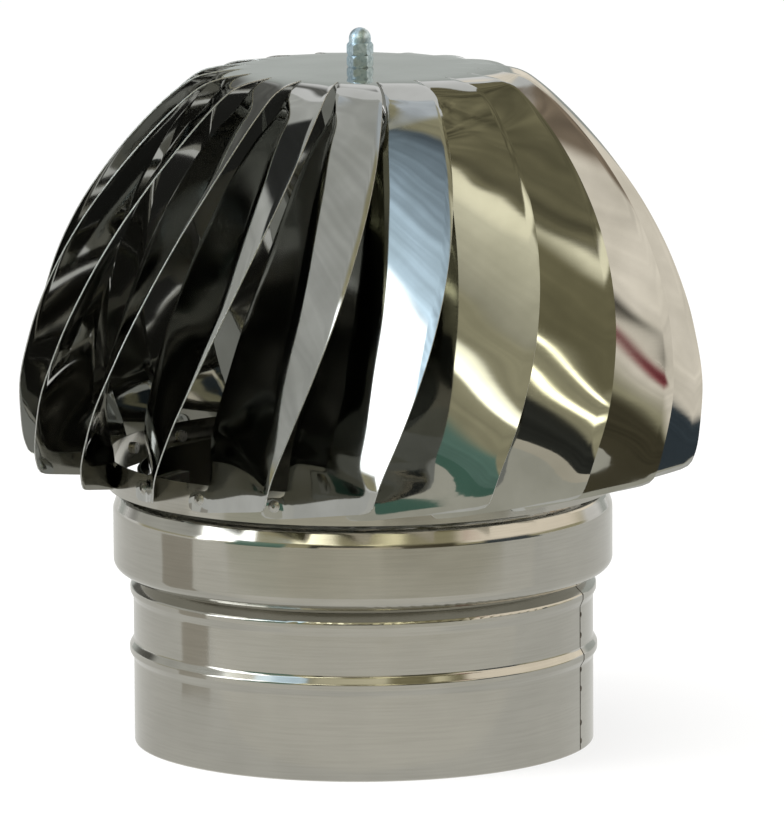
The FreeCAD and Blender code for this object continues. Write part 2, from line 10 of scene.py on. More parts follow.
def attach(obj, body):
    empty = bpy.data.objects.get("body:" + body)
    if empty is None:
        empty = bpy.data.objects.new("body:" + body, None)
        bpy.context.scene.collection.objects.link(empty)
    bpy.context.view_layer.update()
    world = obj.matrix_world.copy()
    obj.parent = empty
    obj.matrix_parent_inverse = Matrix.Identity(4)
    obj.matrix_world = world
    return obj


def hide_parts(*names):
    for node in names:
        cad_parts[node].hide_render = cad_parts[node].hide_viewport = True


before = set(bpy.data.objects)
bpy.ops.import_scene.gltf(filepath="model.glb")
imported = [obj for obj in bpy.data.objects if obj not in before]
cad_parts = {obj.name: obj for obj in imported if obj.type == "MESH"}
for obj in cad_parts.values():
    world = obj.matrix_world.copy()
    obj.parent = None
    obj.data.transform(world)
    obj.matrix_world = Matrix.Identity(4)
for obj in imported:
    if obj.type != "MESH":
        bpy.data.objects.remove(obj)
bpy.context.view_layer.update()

bl_info = {
    "name": "Rotating chimney cowl",
    "version": (1, 0, 0),
    "blender": (4, 5, 0),
    "location": "View3D > Sidebar > Cowl",
    "description": "Dresses the packed cowl: mirror sheet hood, rolled collar, nuts, weld marks and a plain stage",
    "category": "Object",
}

MM = 0.001


def srgb(hex_colour):
    """A hex colour, as it is written on a screen, in linear light."""
    parts = [int(hex_colour[i : i + 2], 16) / 255 for i in (1, 3, 5)]
    return tuple(p / 12.92 if p <= 0.04045 else ((p + 0.055) / 1.055) ** 2.4 for p in parts) + (1.0,)


def grey(level):
    return (level, level, level, 1.0)


# the sizes and colours that a user would change
class CowlColours(PropertyGroup):
    mirror: StringProperty(name="Mirror sheet", description="Hood sheet, polished", default="#B2B3B0")
    mirror_worn: StringProperty(name="Mirror sheet, handled", description="Where hands dulled it", default="#A5A6A2")
    rolled: StringProperty(name="Rolled sheet", description="Collar and ring sheet", default="#B4B2AA")
    rolled_line: StringProperty(name="Rolling lines", description="Darker lines in the collar sheet", default="#AFADA5")
    zinc: StringProperty(name="Zinc plate", description="Nuts and washer", default="#CDDFEA")
    zinc_dull: StringProperty(name="Dull zinc plate", description="Zinc in the hollows", default="#A3B8C4")
    steel: StringProperty(name="Plain steel", description="Turned and strip steel", default="#A9A9A6")
    steel_dark: StringProperty(name="Dark steel", description="Spring steel clips", default="#55565A")
    brass: StringProperty(name="Cage brass", description="Pressed ball cages", default="#C6A45A")
    # paler than the sheet, partly as the cut's own tone and partly as a painted highlight: the thin light line along
    # the blades' edges
    edge: StringProperty(name="Sheared edge", description="Cut edges of the hood sheet", default="#D2D3D0")


def new_material(name):
    mat = bpy.data.materials.new(name)
    mat.use_nodes = True
    mat.node_tree.nodes.clear()
    return mat, mat.node_tree


def add(tree, kind, links=None, stops=None, **settings):
    """Adds a node with its settings, its colour stops and the links into its sockets."""
    node = tree.nodes.new(kind)
    for key, value in settings.items():
        if key.startswith("in_"):
            node.inputs[key[3:].replace("_", " ")].default_value = value
        else:
            setattr(node, key, value)
    for n, (place, colour) in enumerate(stops or []):
        elements = node.color_ramp.elements
        element = elements[n] if n < 2 else elements.new(place)
        element.position = place
        element.color = colour
    for socket, source in (links or {}).items():
        tree.links.new(source, node.inputs[socket])
    return node


# Real sizes behind the patterns of the two sheets, in millimetres. The rolling lines are drawn coarser than the real
# ones, which are too fine to show.
BUCKLE = 50  # across one buckle of the hand-bent hood
SMUDGE = 25  # across a patch that handling has dulled
HOOD_GRAIN = 1.5  # from one rolling line to the next on the hood
COLLAR_GRAIN = 0.8  # the same on the collar
CLOUD = 35  # across a soft cloud in the collar's tone


def mirror_sheet(colours):
    """Mirror polished stainless sheet: sharp reflections, slightly bent by buckles and dulled by handling."""
    mat, t = new_material("mirror_polished_stainless")
    place = add(t, "ShaderNodeTexCoord").outputs["Object"]
    buckle = add(t, "ShaderNodeTexNoise", {"Vector": place}, in_Scale=1 / (BUCKLE * MM), in_Detail=0.0)
    # flattened noise gives level rolling lines across the blades
    flat = add(t, "ShaderNodeMapping", {"Vector": place}, in_Scale=(0.05, 0.05, 1.0))
    lines = add(t, "ShaderNodeTexNoise", {"Vector": flat.outputs[0]}, in_Scale=1 / (HOOD_GRAIN * MM), in_Detail=1.0)
    smudge = add(t, "ShaderNodeTexNoise", {"Vector": place}, in_Scale=1 / (SMUDGE * MM), in_Detail=3.0)
    tint = add(
        t, "ShaderNodeValToRGB", {"Fac": smudge.outputs["Fac"]},
        stops=[(0.35, srgb(colours.mirror_worn)), (0.65, srgb(colours.mirror))],
    )
    rough = add(
        t, "ShaderNodeValToRGB", {"Fac": smudge.outputs["Fac"]}, stops=[(0.3, grey(0.07)), (0.7, grey(0.035))]
    )
    wave = add(t, "ShaderNodeBump", {"Height": buckle.outputs["Fac"]}, in_Strength=0.22, in_Distance=1.0 * MM)
    grain = add(
        t, "ShaderNodeBump", {"Height": lines.outputs["Fac"], "Normal": wave.outputs[0]},
        in_Strength=0.1, in_Distance=0.012 * MM,
    )
    shader = add(
        t, "ShaderNodeBsdfPrincipled",
        {"Base Color": tint.outputs[0], "Roughness": rough.outputs[0], "Normal": grain.outputs[0]},
        in_Metallic=1.0,
    )
    add(t, "ShaderNodeOutputMaterial", {"Surface": shader.outputs[0]})
    return mat


def rolled_sheet(colours):
    """Bright rolled stainless: its fine level lines blur reflections up and down and leave them sharp sideways."""
    mat, t = new_material("bright_rolled_stainless")
    place = add(t, "ShaderNodeTexCoord").outputs["Object"]
    flat = add(t, "ShaderNodeMapping", {"Vector": place}, in_Scale=(0.03, 0.03, 1.0))
    lines = add(t, "ShaderNodeTexNoise", {"Vector": flat.outputs[0]}, in_Scale=1 / (COLLAR_GRAIN * MM), in_Detail=3.0)
    cloud = add(t, "ShaderNodeTexNoise", {"Vector": place}, in_Scale=1 / (CLOUD * MM), in_Detail=2.0)
    tint = add(
        t, "ShaderNodeValToRGB", {"Fac": lines.outputs["Fac"]},
        stops=[(0.3, srgb(colours.rolled_line)), (0.6, srgb(colours.rolled))],
    )
    # handling and heat leave soft clouds in the tone
    stain = add(t, "ShaderNodeValToRGB", {"Fac": cloud.outputs["Fac"]}, stops=[(0.35, grey(0.92)), (0.6, grey(1.0))])
    tone = add(
        t, "ShaderNodeMix", {6: tint.outputs[0], 7: stain.outputs[0]},
        data_type="RGBA", blend_type="MULTIPLY", in_Factor=1.0,
    )
    rough = add(t, "ShaderNodeValToRGB", {"Fac": cloud.outputs["Fac"]}, stops=[(0.3, grey(0.09)), (0.7, grey(0.15))])
    wave = add(t, "ShaderNodeBump", {"Height": cloud.outputs["Fac"]}, in_Strength=0.35, in_Distance=0.8 * MM)
    grain = add(
        t, "ShaderNodeBump", {"Height": lines.outputs["Fac"], "Normal": wave.outputs[0]},
        in_Strength=0.07, in_Distance=0.02 * MM,
    )
    # the lines run round the axis, so the blur lies across that direction
    round_axis = add(t, "ShaderNodeTangent", direction_type="RADIAL", axis="Z")
    shader = add(
        t, "ShaderNodeBsdfPrincipled",
        {
            "Base Color": tone.outputs[2], "Roughness": rough.outputs[0], "Normal": grain.outputs[0],
            "Tangent": round_axis.outputs[0],
        },
        in_Metallic=1.0, in_Anisotropic=0.7, in_Anisotropic_Rotation=0.25,
    )
    add(t, "ShaderNodeOutputMaterial", {"Surface": shader.outputs[0]})
    return mat


def small_metal(name, light, dark, roughness, grit):
    """A small turned, plated or pressed part: a fine mottle in tone and gloss, its grit in millimetres."""
    mat, t = new_material(name)
    place = add(t, "ShaderNodeTexCoord").outputs["Object"]
    mottle = add(t, "ShaderNodeTexNoise", {"Vector": place}, in_Scale=1 / (grit * MM), in_Detail=4.0)
    tint = add(t, "ShaderNodeValToRGB", {"Fac": mottle.outputs["Fac"]}, stops=[(0.35, srgb(dark)), (0.65, srgb(light))])
    rough = add(
        t, "ShaderNodeValToRGB", {"Fac": mottle.outputs["Fac"]},
        stops=[(0.3, grey(roughness * 1.3)), (0.7, grey(roughness * 0.8))],
    )
    bump = add(t, "ShaderNodeBump", {"Height": mottle.outputs["Fac"]}, in_Strength=0.2, in_Distance=0.03 * MM)
    shader = add(
        t, "ShaderNodeBsdfPrincipled",
        {"Base Color": tint.outputs[0], "Roughness": rough.outputs[0], "Normal": bump.outputs[0]},
        in_Metallic=1.0,
    )
    add(t, "ShaderNodeOutputMaterial", {"Surface": shader.outputs[0]})
    return mat


def dress(nodes, material):
    """Gives CAD nodes this material in every slot."""
    for name in nodes:
        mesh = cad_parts[name].data
        if not mesh.materials:
            mesh.materials.append(material)
        for i in range(len(mesh.materials)):
            mesh.materials[i] = material


BEARING_PARTS = [
    side + part for side in ("lower_", "upper_") for part in ("outer_race", "inner_race", "balls", "shields")
]

# Finishes of the small parts: name; light and dark tone, by their names in the colour settings; roughness; grit in
# millimetres; the parts that have it.
SMALL_METALS = [
    # bright zinc, slightly blue, its plating fine-grained
    ("bright_zinc_plate", "zinc", "zinc_dull", 0.4, 1.5, ["crown_nut", "dome_nut", "hub_washer"]),
    # turned steel keeps the lathe's fine marks
    ("turned_steel", "steel", "rolled_line", 0.3, 0.8, ["bearing_housing", "spindle", "spacer_sleeve"]),
    # strip steel as it leaves the mill, grey and satin
    ("plain_stainless_strip", "steel", "rolled_line", 0.35, 2.0, ["bearing_bridge"]),
    # rivet heads are pressed smooth when they are set
    ("set_rivet_steel", "steel", "rolled_line", 0.3, 1.0, ["bridge_rivets", "hood_rivets"]),
    # ground and polished, nearly a mirror
    ("ground_bearing_steel", "mirror", "steel", 0.08, 1.0, BEARING_PARTS),
    # pressed from thin brass strip, one warm tone
    ("pressed_brass", "brass", "brass", 0.3, 1.0, ["lower_ball_cage", "upper_ball_cage"]),
    # hardened in oil, which leaves it nearly black
    (
        "black_spring_steel", "steel_dark", "steel_dark", 0.4, 0.6,
        ["lower_housing_clip", "upper_housing_clip", "spindle_clip"],
    ),
]


class COWL_OT_metals(Operator):
    """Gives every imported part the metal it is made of"""

    bl_idname = "cowl.metals"
    bl_label = "Finish the metals"

    def execute(self, context):
        c = context.scene.cowl_colours
        dress(["vaned_hood"], mirror_sheet(c))
        dress(["flue_spigot", "shoulder_ring", "bottom_hoop"], rolled_sheet(c))
        for name, light, dark, roughness, grit, nodes in SMALL_METALS:
            dress(nodes, small_metal(name, getattr(c, light), getattr(c, dark), roughness, grit))
        return {"FINISHED"}


# hood
class CowlHood(PropertyGroup):
    sheet: FloatProperty(name="Sheet", description="Thickness of the hood sheet", default=0.0006, unit="LENGTH")
    rows: IntProperty(name="Rows", description="Stations down a blade", default=44)
    columns: IntProperty(name="Columns", description="Strips across a blade", default=6)
    crown_radius: FloatProperty(name="Crown radius", description="Where the slits end", default=0.05, unit="LENGTH")
    bore: FloatProperty(name="Bore", description="Hole for the stud", default=0.0032, unit="LENGTH")
    bow: FloatProperty(name="Bow", description="How far a blade bulges across", default=0.0011, unit="LENGTH")
    tab_width: FloatProperty(name="Tab width", description="Of the riveted tabs", default=0.011, unit="LENGTH")
    tab_top: FloatProperty(name="Tab top", description="Height of a tab's upper edge", default=0.1262, unit="LENGTH")


BLADES = 19
PITCH = 360 / BLADES

# The free outer edge of the blade at the front, from the crown down: radius and height in millimetres, and turn in
# degrees.
OUTER_EDGE = [
    (50.0, 293.5, 7.5), (58.5, 292.9, 7.5), (70.4, 290.7, 7.4), (81.0, 283.5, 6.4), (88.5, 276.5, 5.3),
    (97.5, 267.0, 4.0), (109.5, 252.3, 1.9), (123.8, 231.0, -1.2), (135.6, 206.8, -4.7), (143.8, 181.7, -8.5),
    (148.5, 154.0, -13.0), (147.8, 134.0, -16.2), (144.9, 123.8, -17.3),
]

# Its inner edge, which lies behind the next blade and ends on the hoop.
INNER_EDGE = [
    (50.0, 293.5, -10.2), (58.0, 292.3, -9.9), (64.0, 289.2, -9.4), (69.0, 284.4, -9.6), (73.5, 279.2, -11.0),
    (79.5, 271.5, -14.4), (89.2, 255.8, -18.1), (100.5, 233.0, -21.7), (109.1, 207.3, -25.4), (114.9, 180.7, -28.9),
    (116.8, 150.0, -33.2), (111.2, 127.0, -35.6), (111.2, 114.8, -36.5),
]

# Each row says how far down the outer and the inner edge a straight line across the blade ends, as shares of each.
ACROSS = [(0.0, 0.0), (0.3, 0.3), (0.55, 0.5), (0.75, 0.64), (0.88, 0.78), (1.0, 1.0)]

# How far each front blade is bent past its even place, in degrees, counted from the front.
HAND_SET = {-4: 0.0, -3: 0.83, -2: -0.05, -1: -1.41, 0: 0.77, 1: -0.29, 2: 0.56, 3: -0.2, 4: -0.32}

# The other blades are bent unevenly too, by the sine of their number times this step: the most that it comes to, in
# degrees, and the step in radians.
BACK_SET = 0.9
BACK_STEP = 7.3

# The upper part of a blade that still follows the round crown, as a share of its length.
CROWN_SHARE = 0.14

# The bulge of a blade has died away just above its tip: its run over the blade's length.
BOW_RUN = 1.02

# How the crown closes in to the bore: share of its radius, and height of its top in millimetres.
CROWN_RINGS = [(0.8, 293.75), (0.55, 293.95), (0.3, 294.0), (0.0, 294.0)]

# A point this near to a line, as a share of a blade, counts as on it.
NEAR = 0.001

# A tab is folded round the hoop in this many strips.
TAB_STRIPS = 2


def along(knots, rows, x):
    """Smooth curve through the rows of values at their knots, without overshoot."""
    i = 0
    while i < len(knots) - 2 and x > knots[i + 1]:
        i += 1
    h = knots[i + 1] - knots[i]
    s = (x - knots[i]) / h
    values = []
    for k in range(len(rows[0])):
        steps = [(b[k] - a[k]) / (q - p) for a, b, p, q in zip(rows, rows[1:], knots, knots[1:])]
        bends = [0.0 if a * b <= 0 else 2 * a * b / (a + b) for a, b in zip(steps, steps[1:])]
        slopes = [steps[0]] + bends + [steps[-1]]
        value = (1 + 2 * s) * (1 - s) ** 2 * rows[i][k] + s * (1 - s) ** 2 * h * slopes[i]
        value += s * s * (3 - 2 * s) * rows[i + 1][k] + s * s * (s - 1) * h * slopes[i + 1]
        values.append(value)
    return values


def shares(rows):
    """How far down the chain each row lies, from 0 to 1."""
    knots = [0.0]
    for a, b in zip(rows, rows[1:]):
        knots.append(knots[-1] + math.dist(a[:2], b[:2]))
    return [k / knots[-1] for k in knots]


def on_axis(radius, height, turn):
    """A point in metres from its radius and height in millimetres and its turn from the front in degrees."""
    a = math.radians(turn - 90)
    return Vector((radius * math.cos(a), radius * math.sin(a), height)) * MM


def blade_point(down, across, extra, bow):
    """A point of the front blade: down from 0 at the crown to 1 at the tip, across from 0 at the free edge to 1."""
    inner_down = along([a for a, b in ACROSS], [(b,) for a, b in ACROSS], down)[0]
    r0, z0, turn0 = along(shares(OUTER_EDGE), OUTER_EDGE, down)
    r1, z1, turn1 = along(shares(INNER_EDGE), INNER_EDGE, inner_down)
    turn0 += extra * down
    turn1 += extra * 2 * inner_down * (1 - inner_down)
    straight = on_axis(r0, z0, turn0).lerp(on_axis(r1, z1, turn1), across)
    round_crown = on_axis(*[a + (b - a) * across for a, b in ((r0, r1), (z0, z1), (turn0, turn1))])
    root = max(0.0, 1 - down / CROWN_SHARE)
    point = straight.lerp(round_crown, root * root * (3 - 2 * root))
    face = (on_axis(r1, z1, turn1) - on_axis(r0, z0, turn0)).cross(Vector((0, 0, -1))).normalized()
    swell = 4 * across * (1 - across) * bow * (1 - root) * math.sin(math.pi * min(1.0, down * BOW_RUN))
    return point - face * swell if face.dot(Vector((point.x, point.y, 0))) < 0 else point + face * swell


class COWL_OT_hood(Operator):
    """Folds the slit crown into twisted blades, each with a tab on the hoop"""

    bl_idname = "cowl.hood"
    bl_label = "Fold the hood"

    def execute(self, context):
        s = context.scene.cowl_hood
        bm = bmesh.new()
        down = bm.verts.layers.float.new("down")
        across = bm.verts.layers.float.new("across")
        owner = bm.verts.layers.int.new("owner")
        for k in range(BLADES):
            number = k - BLADES // 2
            extra = HAND_SET.get(number, BACK_SET * math.sin(BACK_STEP * number))
            sides = []
            for side in (0.0, 1.0):
                verts = [bm.verts.new((side, 0, -n)) for n in range(s.rows + 1)]
                for n, v in enumerate(verts):
                    v[down], v[across] = n / s.rows, side
                sides += [bm.edges.new(pair) for pair in zip(verts, verts[1:])]
            made = bmesh.ops.bridge_loops(bm, edges=sides)
            # the edges across the blade, each once
            rungs = [e for e in dict.fromkeys(e for f in made["faces"] for e in f.edges) if e not in sides]
            bmesh.ops.subdivide_edges(bm, edges=rungs, cuts=s.columns - 1, use_grid_fill=True)
            blade = [v for v in bm.verts if v[owner] == 0]
            for v in blade:
                v.co = blade_point(v[down], v[across], extra, s.bow)
            # the tab, folded back against the hoop
            low = [v for v in blade if v[across] > 1 - NEAR and v.co.z < s.tab_top]
            fold = [e for e in dict.fromkeys(e for v in low for e in v.link_edges) if set(e.verts) <= set(low)]
            for _ in range(TAB_STRIPS):
                grown = bmesh.ops.extrude_edge_only(bm, edges=fold)["geom"]
                moved = [g for g in grown if isinstance(g, bmesh.types.BMVert)]
                fold = [g for g in grown if isinstance(g, bmesh.types.BMEdge) and set(g.verts) <= set(moved)]
                step = -s.tab_width / TAB_STRIPS / (INNER_EDGE[-1][0] * MM)
                bmesh.ops.rotate(bm, verts=moved, cent=(0, 0, 0), matrix=Matrix.Rotation(step, 3, "Z"))
            blade = [v for v in bm.verts if v[owner] == 0]
            turn = Matrix.Rotation(math.radians(number * PITCH), 3, "Z")
            bmesh.ops.rotate(bm, verts=blade, cent=(0, 0, 0), matrix=turn)
            for v in blade:
                v[owner] = k + 1
        # the crown: the blades' roots joined into one ring, then drawn in to the bore
        roots = [[] for _ in range(BLADES)]
        for v in bm.verts:
            if v[down] < NEAR:
                roots[v[owner] - 1].append(v)
        rim = []
        for root in roots:
            root.sort(key=lambda v: v[across])
            rim += [bm.edges.get(pair) for pair in zip(root, root[1:])]
        for root, following in zip(roots, roots[1:] + roots[:1]):
            rim.append(bm.edges.new((root[0], following[-1])))
        radius = s.crown_radius
        for share, height in CROWN_RINGS:
            inner = max(s.bore, s.crown_radius * share)
            grown = bmesh.ops.extrude_edge_only(bm, edges=rim)["geom"]
            moved = [g for g in grown if isinstance(g, bmesh.types.BMVert)]
            rim = [g for g in grown if isinstance(g, bmesh.types.BMEdge) and all(v in moved for v in g.verts)]
            bmesh.ops.scale(bm, verts=moved, vec=(inner / radius, inner / radius, 1))
            for v in moved:
                v.co.z = height * MM - s.sheet / 2
            radius = inner
        bmesh.ops.recalc_face_normals(bm, faces=bm.faces)
        top = max(bm.faces, key=lambda f: f.calc_center_median().z)
        if top.normal.z < 0:
            bmesh.ops.reverse_faces(bm, faces=bm.faces)
        mesh = bpy.data.meshes.new("folded_hood")
        bm.to_mesh(mesh)
        bm.free()
        mesh.shade_smooth()
        c = context.scene.cowl_colours
        mesh.materials.append(mirror_sheet(c))
        # the shears leave a rougher edge; its paler tone is partly the cut's own and partly a painted highlight that
        # shows as a thin light line
        mesh.materials.append(small_metal("sheared_edge_with_painted_highlight", c.edge, c.mirror, 0.4, 1.0))
        hood = bpy.data.objects.new("folded_hood", mesh)
        context.scene.collection.objects.link(hood)
        wall = hood.modifiers.new("sheet", "SOLIDIFY")
        wall.thickness = s.sheet
        wall.offset = 0.0
        wall.material_offset_rim = 1
        wall.edge_crease_inner = 1.0
        wall.edge_crease_outer = 1.0
        finer = hood.modifiers.new("finer", "SUBSURF")
        finer.levels = finer.render_levels = 1
        even = hood.modifiers.new("even_light", "WEIGHTED_NORMAL")
        even.mode = "FACE_AREA"
        even.weight = 100
        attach(hood, "rotor")
        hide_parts("vaned_hood")
        return {"FINISHED"}


# collar
# The outside of the collar from the neck down to the rim: radius and height in millimetres.
COLLAR_LINE = [
    (97.0, 74.5), (97.0, 73.0), (101.4, 68.7), (101.4, 66.3), (100.0, 63.3), (100.0, 45.2), (101.8, 42.2),
    (101.8, 39.8), (100.0, 36.8), (100.0, 0.3),
]

# Outside of the collar's plain end, in millimetres.
COLLAR_RADIUS = 100.0

# The seam's line stands this proud of the sheet and is this thick, in millimetres.
SEAM_PROUD = 0.08
SEAM_THICKNESS = 0.1

# Spot welds beside the seam: heights in millimetres, degrees past the seam, height of the mark in millimetres and the
# width of its top as a share of its foot.
WELD_HEIGHTS = (59.5, 50.5, 35.5, 27.0, 12.0, 4.0)
WELD_ASIDE = 0.6
WELD_PROUD = 0.22
WELD_TOP = 0.6


class CowlSeam(PropertyGroup):
    turn: FloatProperty(name="Seam turn", description="From the front to the right", default=1.2043, subtype="ANGLE")
    width: FloatProperty(name="Seam width", description="Width of the dark line", default=0.0007, unit="LENGTH")
    weld: FloatProperty(name="Weld mark", description="Radius of a spot weld's mark", default=0.0013, unit="LENGTH")


class COWL_OT_seam(Operator):
    """Draws the lap seam of the collar and its row of spot welds"""

    bl_idname = "cowl.seam"
    bl_label = "Mark the seam"

    def execute(self, context):
        s = context.scene.cowl_seam
        c = context.scene.cowl_colours
        bm = bmesh.new()
        turn = math.degrees(s.turn)
        line = [bm.verts.new(on_axis(r + SEAM_PROUD, z, turn)) for r, z in COLLAR_LINE]
        edges = [bm.edges.new(pair) for pair in zip(line, line[1:])]
        bmesh.ops.spin(
            bm, geom=line + edges, cent=(0, 0, 0), axis=(0, 0, 1), angle=s.width / (COLLAR_RADIUS * MM), steps=1,
            use_merge=False,
        )
        bmesh.ops.solidify(bm, geom=bm.faces[:], thickness=SEAM_THICKNESS * MM)
        for height in WELD_HEIGHTS:
            mark = bmesh.ops.create_circle(bm, cap_ends=True, segments=14, radius=s.weld)["verts"]
            grown = bmesh.ops.extrude_face_region(bm, geom=[mark[0].link_faces[0]])["geom"]
            dome = [g for g in grown if isinstance(g, bmesh.types.BMVert)]
            bmesh.ops.translate(bm, verts=dome, vec=(0, 0, WELD_PROUD * MM))
            bmesh.ops.scale(bm, verts=dome, vec=(WELD_TOP, WELD_TOP, 1))
            stand = Matrix.Rotation(s.turn - math.pi / 2, 4, "Z") @ Matrix.Rotation(math.pi / 2, 4, "Y")
            place = Matrix.Translation(on_axis(COLLAR_RADIUS, height, turn + WELD_ASIDE)) @ stand
            bmesh.ops.transform(bm, verts=mark + dome, matrix=place)
        bmesh.ops.recalc_face_normals(bm, faces=bm.faces)
        mesh = bpy.data.meshes.new("lap_seam")
        bm.to_mesh(mesh)
        bm.free()
        mesh.shade_smooth()
        mesh.set_sharp_from_angle(angle=math.radians(40))
        # heat and flux leave the seam brown-black and dull
        mesh.materials.append(small_metal("burnt_weld_line", "#6A6258", "#38332E", 0.5, 1.2))
        seam = bpy.data.objects.new("lap_seam", mesh)
        context.scene.collection.objects.link(seam)
        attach(seam, "collar")
        return {"FINISHED"}


# stage
class CowlStage(PropertyGroup):
    distance: FloatProperty(name="Camera distance", description="From the cowl's middle", default=4.0, unit="LENGTH")
    lens: FloatProperty(name="Lens", description="Focal length, millimetres", default=401.1)
    rise: FloatProperty(name="Camera height", description="Angle above level", default=0.1608, subtype="ANGLE")
    lean: FloatProperty(name="Camera roll", description="Round the line of sight", default=-0.0057, subtype="ANGLE")
    middle: FloatProperty(name="Middle height", description="Height the camera keeps", default=0.16, unit="LENGTH")
    aside: FloatProperty(name="Aim aside", description="Aim to the right of the axis", default=0.0129, unit="LENGTH")
    under: FloatProperty(name="Aim under", description="Aim below the middle", default=0.0177, unit="LENGTH")
    panel_distance: FloatProperty(name="Panel distance", description="Of the studio panels", default=6.0, unit="LENGTH")


def sky_point(azimuth, height, distance):
    """A point seen from the cowl: azimuth 0 is the camera's side and grows to its right; both in degrees."""
    a, h = math.radians(azimuth), math.radians(height)
    return Vector((math.sin(a) * math.cos(h), -math.cos(a) * math.cos(h), math.sin(h))) * distance


# Studio panels round the cowl, seen only in the metal, the far ones first. Each row: name; azimuth from and to; height
# of the lower edge at each end; height of the upper edge at each end, all in degrees; distance as a share of the panel
# distance; colour; brightness at the lower and the upper edge; width of the soft edge as a share of the panel; how
# streaky it is.
PANELS = [
    ("wide_cream", (-128, 128), (-4, -4), (89, 89), 1.0, "#C9C2A0", 0.9, 0.9, 0.04, 0.4),
    ("right_pale", (42, 176), (8, 10), (52, 40), 0.98, "#F2E8D9", 1.5, 1.5, 0.08, 0.3),
    ("back_grey", (138, 222), (-3, -3), (25, 25), 0.975, "#CFD4D0", 0.86, 0.86, 0.1, 0.1),
    ("left_shade", (-178, -126), (2, 4), (44, 40), 0.955, "#7C7C78", 0.8, 0.8, 0.15, 0.6),
    ("left_grey", (-146, -80), (4, 4), (68, 68), 0.96, "#E2E3DF", 0.85, 0.9, 0.06, 0.3),
    ("left_shade_bar", (-130, -112), (33, 33), (47, 47), 0.952, "#3A3B3A", 1.0, 1.0, 0.1, 0.3),
    ("left_top_grey", (-150, -60), (64, 62), (86, 86), 0.953, "#F0F7FF", 0.9, 0.9, 0.2, 0.3),
    ("right_brown", (104, 142), (35, 33), (48, 46), 0.952, "#C4AF98", 0.9, 0.7, 0.2, 0.9),
    ("front_cream", (-34, 22), (38, 38), (68, 60), 0.95, "#FAF4D6", 0.5, 1.5, 0.12, 0.1),
    ("front_khaki", (12, 64), (32, 30), (56, 46), 0.945, "#8F8868", 0.9, 1.1, 0.12, 0.3),
    ("cream_line_front", (-4, 40), (54.5, 63), (59.5, 69), 0.94, "#FFF8D8", 1.6, 1.6, 0.3, 0.0),
    ("cream_line_right", (36, 70), (44, 46), (49, 50.5), 0.94, "#FFF8D8", 1.6, 1.6, 0.3, 0.0),
    ("top_shade_front", (-24, 38), (54, 66.7), (89, 88), 0.935, "#958E6F", 0.9, 0.9, 0.03, 1.0),
    ("top_shade_middle", (36, 66), (46.5, 50.8), (89, 88), 0.932, "#958E6F", 0.9, 0.9, 0.03, 1.0),
    ("top_shade_right", (62, 168), (49, 44), (88, 88), 0.93, "#958E6F", 0.9, 0.9, 0.03, 1.0),
    ("left_glow_far", (-113, -96), (38, 38), (52, 52), 0.928, "#DDF0FF", 4.0, 4.0, 0.2, 0.0),
    ("left_glow_high", (-66, -33), (32, 28), (76, 76), 0.925, "#CFE7FA", 2.7, 0.15, 0.05, 0.7),
    ("left_glow_low", (-83, -52), (-3, 12), (38, 44), 0.92, "#F6FAFF", 5.0, 4.0, 0.08, 0.0),
    ("front_glow_left", (-36, -9), (27, 20), (37, 30), 0.91, "#FFFBE0", 6.0, 0.9, 0.25, 0.0),
    ("front_glow_right", (2, 24), (35, 27), (38, 30), 0.91, "#FFF9D2", 5.5, 5.5, 0.45, 0.0),
    ("front_glow_low", (-6, 22), (21.5, 22.5), (25.5, 26.5), 0.91, "#FFF9D2", 5.5, 5.5, 0.45, 0.0),
    ("left_teal", (-62, -34), (-6, -6), (22, 20), 0.90, "#7FA597", 0.6, 0.95, 0.08, 0.2),
    ("front_shade", (-26, 6), (-2, -2), (20, 21), 0.89, "#3E3F3A", 0.9, 0.9, 0.1, 0.5),
    ("right_umber", (10, 46), (-6, -6), (20, 20), 0.89, "#6E6750", 0.5, 0.7, 0.15, 0.5),
    ("right_red", (48, 60), (26, 26), (33, 33), 0.89, "#B5505A", 0.9, 0.9, 0.3, 0.9),
    ("right_drab", (56, 68), (30, 30), (35, 35), 0.885, "#8C8578", 0.7, 0.7, 0.35, 0.9),
    ("right_slate", (54, 84), (-6, -6), (15, 13), 0.885, "#5D6A74", 0.5, 0.6, 0.15, 0.4),
]

# Flat cards near the cowl that show in the collar and in the blades' lower ends: name; corners, each as azimuth in
# degrees, distance and height in metres; colour; brightness.
CARDS = [
    ("floor_near", ((-45, 4, 0.0004), (45, 4, 0.0004), (135, 4, 0.0004), (-135, 4, 0.0004)), "#F4F4F0", 0.82),
    ("floor_front", ((-45, 4.24, 0.0006), (45, 4.24, 0.0006), (87.7, 3, 0.0006), (-87.7, 3, 0.0006)), "#E8E7E1", 1.0),
    ("floor_beige", ((-60, 0.6, 0.0007), (0, 0.5, 0.0007), (60, 0.6, 0.0007), (75, 3.6, 0.0007), (0, 3.9, 0.0007),
                     (-60, 3.6, 0.0007)), "#E0DDCE", 0.85),
    ("floor_teal", ((-64, 0.95, 0.0008), (-36, 0.95, 0.0008), (-36, 6, 0.0008), (-64, 6, 0.0008)), "#6F9C8A", 0.6),
    ("floor_umber", ((8, 0.9, 0.0008), (48, 0.9, 0.0008), (48, 6, 0.0008), (8, 6, 0.0008)), "#6E6750", 0.6),
    ("floor_slate", ((48, 0.9, 0.0009), (86, 0.9, 0.0009), (86, 6, 0.0009), (48, 6, 0.0009)), "#5D6A74", 0.5),
    ("left_card", ((-68, 0.25, 0), (-84, 0.232, 0), (-84, 0.232, 0.085), (-68, 0.25, 0.085)), "#BDB8AE", 0.95),
    ("near_card", ((-19.3, 1.06, 0.06), (16.7, 1.04, 0.06), (16.7, 1.04, 0.2), (-19.3, 1.06, 0.2)), "#EBE2CE", 0.9),
    ("inside_shade", tuple((45 * n, 0.099, 0.0009) for n in range(8)), "#2A2A28", 1.0),
]

